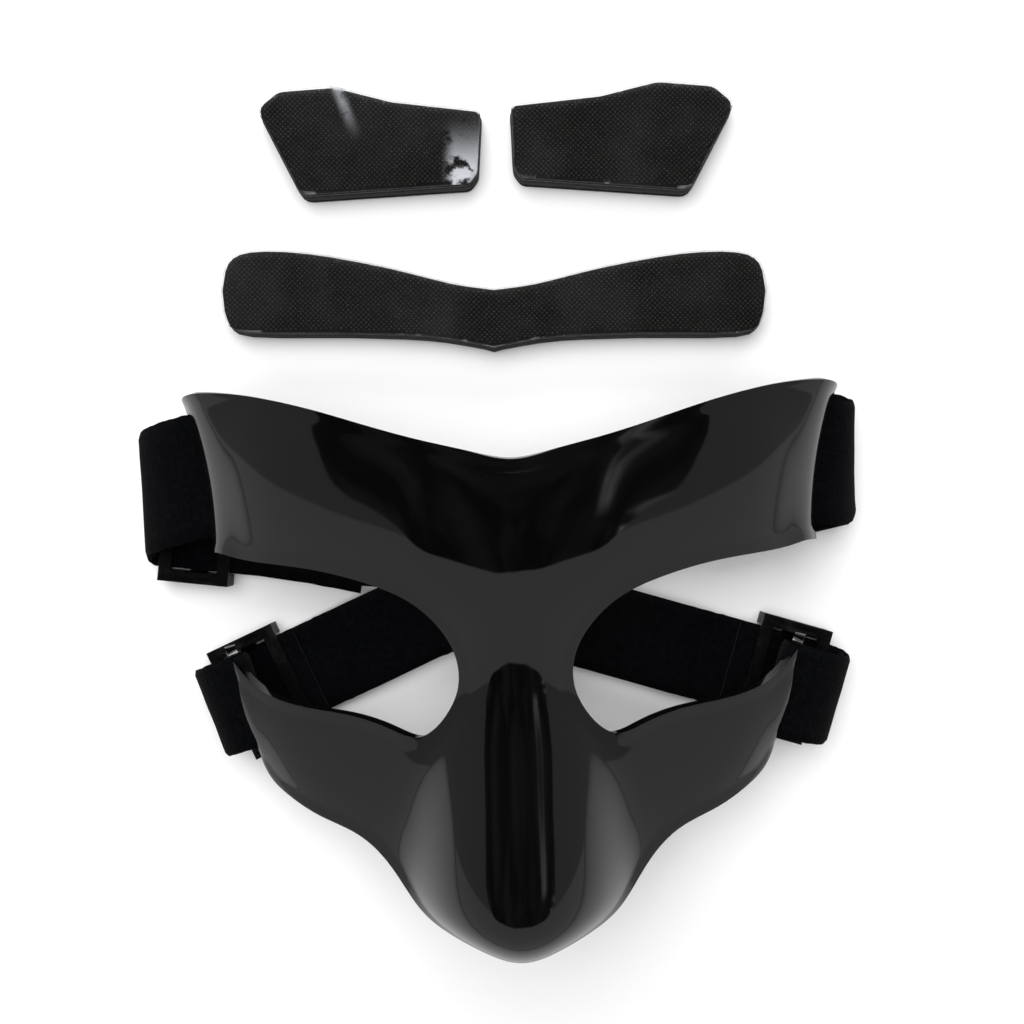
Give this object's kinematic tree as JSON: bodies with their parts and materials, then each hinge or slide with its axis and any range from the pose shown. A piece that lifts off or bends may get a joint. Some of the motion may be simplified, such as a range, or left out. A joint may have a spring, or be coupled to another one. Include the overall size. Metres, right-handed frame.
{
  "type": "boxing face guard",
  "caption": "Rigid gloss face guard with nose cup and cheek wings, elastic straps with sliders, and loose hook-and-loop forehead and cheek pads.",
  "frame": {"origin": "middle of the base of the whole object's box, on the surface that it lies on", "axes": "+X across the face towards the wearer's left, +Y up the face towards the forehead, +Z out of the face, up from the surface"},
  "size_m": [0.2136, 0.2425, 0.0718],
  "materials": {
    "gloss_black": "moulded, high gloss",
    "elastic_black": "knitted elastic with a soft nap",
    "moulded_black": "moulded, satin",
    "skin_knit": "fine knit",
    "pad_foam": "closed-cell foam",
    "loop_pile": "looped pile",
    "hook_black": "rows of small hooks, adhesive coated",
    "clear_film": "clear gloss release film"
  },
  "bodies": {
    "guard": {"shell": "gloss_black", "upper_strap": "elastic_black", "lower_strap": "elastic_black"},
    "upper_left_slider": {"upper_left_slider": "moulded_black"},
    "upper_right_slider": {"upper_right_slider": "moulded_black"},
    "lower_left_slider": {"lower_left_slider": "moulded_black"},
    "lower_right_slider": {"lower_right_slider": "moulded_black"},
    "forehead_pad": {"forehead_pad_skin": "skin_knit", "forehead_pad_foam": "pad_foam", "forehead_pad_loop": "loop_pile"},
    "forehead_pad_fastener": {"forehead_pad_hook_tape": "hook_black"},
    "forehead_pad_liner": {"forehead_pad_film": "clear_film"},
    "left_cheek_pad": {"left_cheek_pad_skin": "skin_knit", "left_cheek_pad_foam": "pad_foam", "left_cheek_pad_loop": "loop_pile"},
    "left_cheek_pad_fastener": {"left_cheek_pad_hook_tape": "hook_black"},
    "left_cheek_pad_liner": {"left_cheek_pad_film": "clear_film"},
    "right_cheek_pad": {"right_cheek_pad_skin": "skin_knit", "right_cheek_pad_foam": "pad_foam", "right_cheek_pad_loop": "loop_pile"},
    "right_cheek_pad_fastener": {"right_cheek_pad_hook_tape": "hook_black"},
    "right_cheek_pad_liner": {"right_cheek_pad_film": "clear_film"}
  },
  "joints": [
    {"name": "upper_left_slider_travel", "type": "slide", "parent": "guard", "child": "upper_left_slider", "axis": [0.9925, -0.1219, 0], "range_m": [0, 0.016]},
    {"name": "upper_right_slider_travel", "type": "slide", "parent": "guard", "child": "upper_right_slider", "axis": [-0.9781, -0.2079, 0], "range_m": [0, 0.018]},
    {"name": "lower_left_slider_travel", "type": "slide", "parent": "guard", "child": "lower_left_slider", "axis": [0.9136, 0.4067, 0], "range_m": [0, 0.004]},
    {"name": "lower_right_slider_travel", "type": "slide", "parent": "guard", "child": "lower_right_slider", "axis": [-0.9563, 0.2924, 0], "range_m": [0, 0.005]},
    {"name": "forehead_pad_lift", "type": "slide", "parent": "guard", "child": "forehead_pad", "axis": [0, 0, 1], "range_m": [0, 0.06]},
    {"name": "forehead_pad_hook_lift", "type": "slide", "parent": "forehead_pad", "child": "forehead_pad_fastener", "axis": [0, 0, 1], "range_m": [0, 0.015]},
    {"name": "forehead_pad_film_lift", "type": "slide", "parent": "forehead_pad_fastener", "child": "forehead_pad_liner", "axis": [0, 0, 1], "range_m": [0, 0.01]},
    {"name": "left_cheek_pad_lift", "type": "slide", "parent": "guard", "child": "left_cheek_pad", "axis": [0, 0, 1], "range_m": [0, 0.06]},
    {"name": "left_cheek_pad_hook_lift", "type": "slide", "parent": "left_cheek_pad", "child": "left_cheek_pad_fastener", "axis": [0, 0, 1], "range_m": [0, 0.015]},
    {"name": "left_cheek_pad_film_lift", "type": "slide", "parent": "left_cheek_pad_fastener", "child": "left_cheek_pad_liner", "axis": [0, 0, 1], "range_m": [0, 0.01]},
    {"name": "right_cheek_pad_lift", "type": "slide", "parent": "guard", "child": "right_cheek_pad", "axis": [0, 0, 1], "range_m": [0, 0.06]},
    {"name": "right_cheek_pad_hook_lift", "type": "slide", "parent": "right_cheek_pad", "child": "right_cheek_pad_fastener", "axis": [0, 0, 1], "range_m": [0, 0.015]},
    {"name": "right_cheek_pad_film_lift", "type": "slide", "parent": "right_cheek_pad_fastener", "child": "right_cheek_pad_liner", "axis": [0, 0, 1], "range_m": [0, 0.01]}
  ]
}
